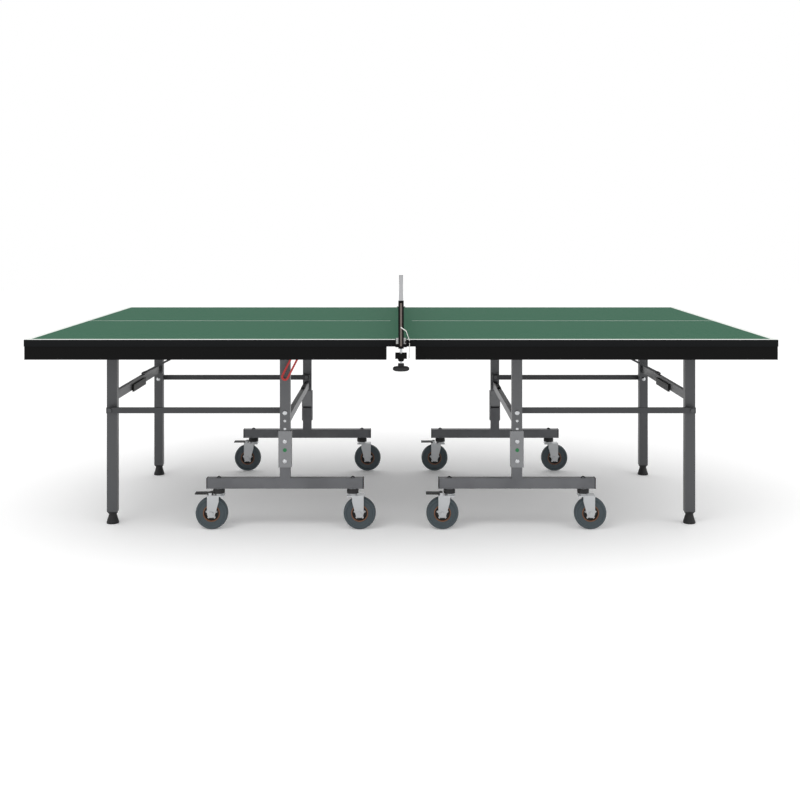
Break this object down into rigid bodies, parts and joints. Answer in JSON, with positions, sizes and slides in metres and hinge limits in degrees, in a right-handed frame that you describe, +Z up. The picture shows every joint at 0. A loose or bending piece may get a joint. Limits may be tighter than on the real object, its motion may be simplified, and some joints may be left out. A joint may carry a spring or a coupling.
{
  "type": "table tennis table",
  "caption": "Competition table tennis table: green tops on black frames, each half folding on a wheeled grey steel base, with linked legs, levelling feet and a clamped net.",
  "frame": {"origin": "on the floor, under the middle of the net", "axes": "+X along the table to the right half, +Y across it away from the near side, +Z up"},
  "size_m": [2.74, 1.8604, 0.9125],
  "materials": {
    "top_green": "painted matt green wood-fibre board",
    "apron_black": "satin black powder coat",
    "frame_grey": "metallic dark grey powder coat",
    "zinc": "zinc-plated pressed steel",
    "plastic_black": "moulded black plastic",
    "tyre_grey": "dark blue-grey rubber tread",
    "catch_red": "red dipped plastic",
    "netting": "black knotted netting",
    "tape_white": "white woven tape",
    "cord_white": "white braided cord"
  },
  "bodies": {
    "left_base": {"left_near_wheel_frame": "frame_grey", "left_far_wheel_frame": "frame_grey", "left_near_post": "frame_grey", "left_far_post": "frame_grey", "left_post_crossbar": "frame_grey"},
    "left_top": {"left_playing_board": "top_green", "left_apron_frame": "apron_black"},
    "left_legs": {"left_leg_frame": "frame_grey"},
    "left_links": {"left_near_link": "frame_grey", "left_far_link": "frame_grey"},
    "left_strut": {"left_lock_strut": "frame_grey"},
    "left_latch": {"left_lock_latch": "plastic_black"},
    "left_catch": {"left_safety_catch": "catch_red"},
    "left_near_levelling_foot": {"left_near_foot": "plastic_black"},
    "left_near_inner_swivel": {"left_near_inner_fork": "zinc"},
    "left_near_inner_roller": {"left_near_inner_wheel": "tyre_grey"},
    "left_near_outer_swivel": {"left_near_outer_fork": "zinc"},
    "left_near_outer_roller": {"left_near_outer_wheel": "tyre_grey"},
    "left_near_outer_brake": {"left_near_outer_brake_pedal": "plastic_black"},
    "left_far_levelling_foot": {"left_far_foot": "plastic_black"},
    "left_far_inner_swivel": {"left_far_inner_fork": "zinc"},
    "left_far_inner_roller": {"left_far_inner_wheel": "tyre_grey"},
    "left_far_outer_swivel": {"left_far_outer_fork": "zinc"},
    "left_far_outer_roller": {"left_far_outer_wheel": "tyre_grey"},
    "left_far_outer_brake": {"left_far_outer_brake_pedal": "plastic_black"},
    "right_base": {"right_near_wheel_frame": "frame_grey", "right_far_wheel_frame": "frame_grey", "right_near_post": "frame_grey", "right_far_post": "frame_grey", "right_post_crossbar": "frame_grey"},
    "right_top": {"right_playing_board": "top_green", "right_apron_frame": "apron_black"},
    "right_legs": {"right_leg_frame": "frame_grey"},
    "right_links": {"right_near_link": "frame_grey", "right_far_link": "frame_grey"},
    "right_strut": {"right_lock_strut": "frame_grey"},
    "right_latch": {"right_lock_latch": "plastic_black"},
    "right_catch": {"right_safety_catch": "catch_red"},
    "right_near_levelling_foot": {"right_near_foot": "plastic_black"},
    "right_near_inner_swivel": {"right_near_inner_fork": "zinc"},
    "right_near_inner_roller": {"right_near_inner_wheel": "tyre_grey"},
    "right_near_inner_brake": {"right_near_inner_brake_pedal": "plastic_black"},
    "right_near_outer_swivel": {"right_near_outer_fork": "zinc"},
    "right_near_outer_roller": {"right_near_outer_wheel": "tyre_grey"},
    "right_far_levelling_foot": {"right_far_foot": "plastic_black"},
    "right_far_inner_swivel": {"right_far_inner_fork": "zinc"},
    "right_far_inner_roller": {"right_far_inner_wheel": "tyre_grey"},
    "right_far_inner_brake": {"right_far_inner_brake_pedal": "plastic_black"},
    "right_far_outer_swivel": {"right_far_outer_fork": "zinc"},
    "right_far_outer_roller": {"right_far_outer_wheel": "tyre_grey"},
    "net_set": {"near_net_post": "apron_black", "far_net_post": "apron_black", "near_net_clamp": "apron_black", "far_net_clamp": "apron_black", "net": "netting", "net_top_tape": "tape_white", "net_tension_cord": "cord_white"},
    "near_screw": {"near_clamp_screw": "plastic_black"},
    "far_screw": {"far_clamp_screw": "plastic_black"}
  },
  "joints": [
    {"name": "left_top_fold", "type": "hinge", "parent": "left_base", "child": "left_top", "pos_m": [-0.398, 0, 0.711], "axis": [0, 1, 0], "range_deg": [0, 90]},
    {"name": "left_legs_swing", "type": "hinge", "parent": "left_top", "child": "left_legs", "pos_m": [-1.088, 0, 0.711], "axis": [0, 1, 0], "range_deg": [-90, 0]},
    {"name": "left_links_swing", "type": "hinge", "parent": "left_base", "child": "left_links", "pos_m": [-0.448, 0, 0.451], "axis": [0, 1, 0], "range_deg": [0, 90]},
    {"name": "left_strut_swing", "type": "hinge", "parent": "left_top", "child": "left_strut", "pos_m": [-0.83, 0.1, 0.677], "axis": [0, 1, 0], "range_deg": [0, 26.9]},
    {"name": "left_latch_turn", "type": "hinge", "parent": "left_legs", "child": "left_latch", "pos_m": [-1.1259, -0.0275, 0.5006], "axis": [0, -1, 0], "range_deg": [0, 15], "stiffness_Nm_per_rad": 0.1, "springref_deg": -11.46},
    {"name": "left_catch_turn", "type": "hinge", "parent": "left_top", "child": "left_catch", "pos_m": [-0.39, -0.526, 0.703], "axis": [0, 1, 0], "range_deg": [-40, 0], "stiffness_Nm_per_rad": 0.12, "springref_deg": 34.38},
    {"name": "left_near_foot_screw", "type": "hinge", "parent": "left_legs", "child": "left_near_levelling_foot", "pos_m": [-1.138, -0.414, 0.02], "axis": [0, 0, 1], "range_deg": [-1080, 1080]},
    {"name": "left_near_inner_swivel_turn", "type": "hinge", "parent": "left_base", "child": "left_near_inner_swivel", "pos_m": [-0.187, -0.497, 0.13], "axis": [0, 0, 1], "continuous": true},
    {"name": "left_near_inner_wheel_roll", "type": "hinge", "parent": "left_near_inner_swivel", "child": "left_near_inner_roller", "pos_m": [-0.16, -0.497, 0.0625], "axis": [0, 1, 0], "continuous": true},
    {"name": "left_near_outer_swivel_turn", "type": "hinge", "parent": "left_base", "child": "left_near_outer_swivel", "pos_m": [-0.705, -0.497, 0.13], "axis": [0, 0, 1], "continuous": true},
    {"name": "left_near_outer_wheel_roll", "type": "hinge", "parent": "left_near_outer_swivel", "child": "left_near_outer_roller", "pos_m": [-0.732, -0.497, 0.0625], "axis": [0, 1, 0], "continuous": true},
    {"name": "left_near_outer_brake_press", "type": "hinge", "parent": "left_near_outer_swivel", "child": "left_near_outer_brake", "pos_m": [-0.734, -0.497, 0.138], "axis": [0, -1, 0], "range_deg": [0, 8]},
    {"name": "left_far_foot_screw", "type": "hinge", "parent": "left_legs", "child": "left_far_levelling_foot", "pos_m": [-1.138, 0.414, 0.02], "axis": [0, 0, 1], "range_deg": [-1080, 1080]},
    {"name": "left_far_inner_swivel_turn", "type": "hinge", "parent": "left_base", "child": "left_far_inner_swivel", "pos_m": [-0.187, 0.497, 0.13], "axis": [0, 0, 1], "continuous": true},
    {"name": "left_far_inner_wheel_roll", "type": "hinge", "parent": "left_far_inner_swivel", "child": "left_far_inner_roller", "pos_m": [-0.16, 0.497, 0.0625], "axis": [0, 1, 0], "continuous": true},
    {"name": "left_far_outer_swivel_turn", "type": "hinge", "parent": "left_base", "child": "left_far_outer_swivel", "pos_m": [-0.705, 0.497, 0.13], "axis": [0, 0, 1], "continuous": true},
    {"name": "left_far_outer_wheel_roll", "type": "hinge", "parent": "left_far_outer_swivel", "child": "left_far_outer_roller", "pos_m": [-0.732, 0.497, 0.0625], "axis": [0, 1, 0], "continuous": true},
    {"name": "left_far_outer_brake_press", "type": "hinge", "parent": "left_far_outer_swivel", "child": "left_far_outer_brake", "pos_m": [-0.734, 0.497, 0.138], "axis": [0, -1, 0], "range_deg": [0, 8]},
    {"name": "halves_apart", "type": "slide", "parent": "left_base", "child": "right_base", "axis": [1, 0, 0], "range_m": [0, 0.6]},
    {"name": "right_top_fold", "type": "hinge", "parent": "right_base", "child": "right_top", "pos_m": [0.398, 0, 0.711], "axis": [0, -1, 0], "range_deg": [0, 90]},
    {"name": "right_legs_swing", "type": "hinge", "parent": "right_top", "child": "right_legs", "pos_m": [1.088, 0, 0.711], "axis": [0, -1, 0], "range_deg": [-90, 0]},
    {"name": "right_links_swing", "type": "hinge", "parent": "right_base", "child": "right_links", "pos_m": [0.448, 0, 0.451], "axis": [0, -1, 0], "range_deg": [0, 90]},
    {"name": "right_strut_swing", "type": "hinge", "parent": "right_top", "child": "right_strut", "pos_m": [0.83, 0.1, 0.677], "axis": [0, -1, 0], "range_deg": [0, 26.9]},
    {"name": "right_latch_turn", "type": "hinge", "parent": "right_legs", "child": "right_latch", "pos_m": [1.1259, -0.0275, 0.5006], "axis": [0, 1, 0], "range_deg": [0, 15], "stiffness_Nm_per_rad": 0.1, "springref_deg": -11.46},
    {"name": "right_catch_turn", "type": "hinge", "parent": "right_top", "child": "right_catch", "pos_m": [0.39, 0.526, 0.703], "axis": [0, -1, 0], "range_deg": [-40, 0], "stiffness_Nm_per_rad": 0.12, "springref_deg": 34.38},
    {"name": "right_near_foot_screw", "type": "hinge", "parent": "right_legs", "child": "right_near_levelling_foot", "pos_m": [1.138, -0.414, 0.02], "axis": [0, 0, 1], "range_deg": [-1080, 1080]},
    {"name": "right_near_inner_swivel_turn", "type": "hinge", "parent": "right_base", "child": "right_near_inner_swivel", "pos_m": [0.187, -0.497, 0.13], "axis": [0, 0, 1], "continuous": true},
    {"name": "right_near_inner_wheel_roll", "type": "hinge", "parent": "right_near_inner_swivel", "child": "right_near_inner_roller", "pos_m": [0.16, -0.497, 0.0625], "axis": [0, 1, 0], "continuous": true},
    {"name": "right_near_inner_brake_press", "type": "hinge", "parent": "right_near_inner_swivel", "child": "right_near_inner_brake", "pos_m": [0.158, -0.497, 0.138], "axis": [0, -1, 0], "range_deg": [0, 8]},
    {"name": "right_near_outer_swivel_turn", "type": "hinge", "parent": "right_base", "child": "right_near_outer_swivel", "pos_m": [0.705, -0.497, 0.13], "axis": [0, 0, 1], "continuous": true},
    {"name": "right_near_outer_wheel_roll", "type": "hinge", "parent": "right_near_outer_swivel", "child": "right_near_outer_roller", "pos_m": [0.732, -0.497, 0.0625], "axis": [0, 1, 0], "continuous": true},
    {"name": "right_far_foot_screw", "type": "hinge", "parent": "right_legs", "child": "right_far_levelling_foot", "pos_m": [1.138, 0.414, 0.02], "axis": [0, 0, 1], "range_deg": [-1080, 1080]},
    {"name": "right_far_inner_swivel_turn", "type": "hinge", "parent": "right_base", "child": "right_far_inner_swivel", "pos_m": [0.187, 0.497, 0.13], "axis": [0, 0, 1], "continuous": true},
    {"name": "right_far_inner_wheel_roll", "type": "hinge", "parent": "right_far_inner_swivel", "child": "right_far_inner_roller", "pos_m": [0.16, 0.497, 0.0625], "axis": [0, 1, 0], "continuous": true},
    {"name": "right_far_inner_brake_press", "type": "hinge", "parent": "right_far_inner_swivel", "child": "right_far_inner_brake", "pos_m": [0.158, 0.497, 0.138], "axis": [0, -1, 0], "range_deg": [0, 8]},
    {"name": "right_far_outer_swivel_turn", "type": "hinge", "parent": "right_base", "child": "right_far_outer_swivel", "pos_m": [0.705, 0.497, 0.13], "axis": [0, 0, 1], "continuous": true},
    {"name": "right_far_outer_wheel_roll", "type": "hinge", "parent": "right_far_outer_swivel", "child": "right_far_outer_roller", "pos_m": [0.732, 0.497, 0.0625], "axis": [0, 1, 0], "continuous": true},
    {"name": "net_lift_off", "type": "slide", "parent": "left_base", "child": "net_set", "axis": [0, 0, 1], "range_m": [0, 0.3]},
    {"name": "near_clamp_screw_turn", "type": "hinge", "parent": "net_set", "child": "near_screw", "pos_m": [0, -0.794, 0.66], "axis": [0, 0, 1], "range_deg": [-720, 0]},
    {"name": "far_clamp_screw_turn", "type": "hinge", "parent": "net_set", "child": "far_screw", "pos_m": [0, 0.794, 0.66], "axis": [0, 0, 1], "range_deg": [-720, 0]}
  ],
  "couplings": [
    {"joint": "left_legs_swing", "follows": "left_top_fold", "ratio": -1},
    {"joint": "left_links_swing", "follows": "left_top_fold", "ratio": 1},
    {"joint": "left_strut_swing", "follows": "left_top_fold", "ratio": 0.2985},
    {"joint": "right_legs_swing", "follows": "right_top_fold", "ratio": -1},
    {"joint": "right_links_swing", "follows": "right_top_fold", "ratio": 1},
    {"joint": "right_strut_swing", "follows": "right_top_fold", "ratio": 0.2985}
  ]
}
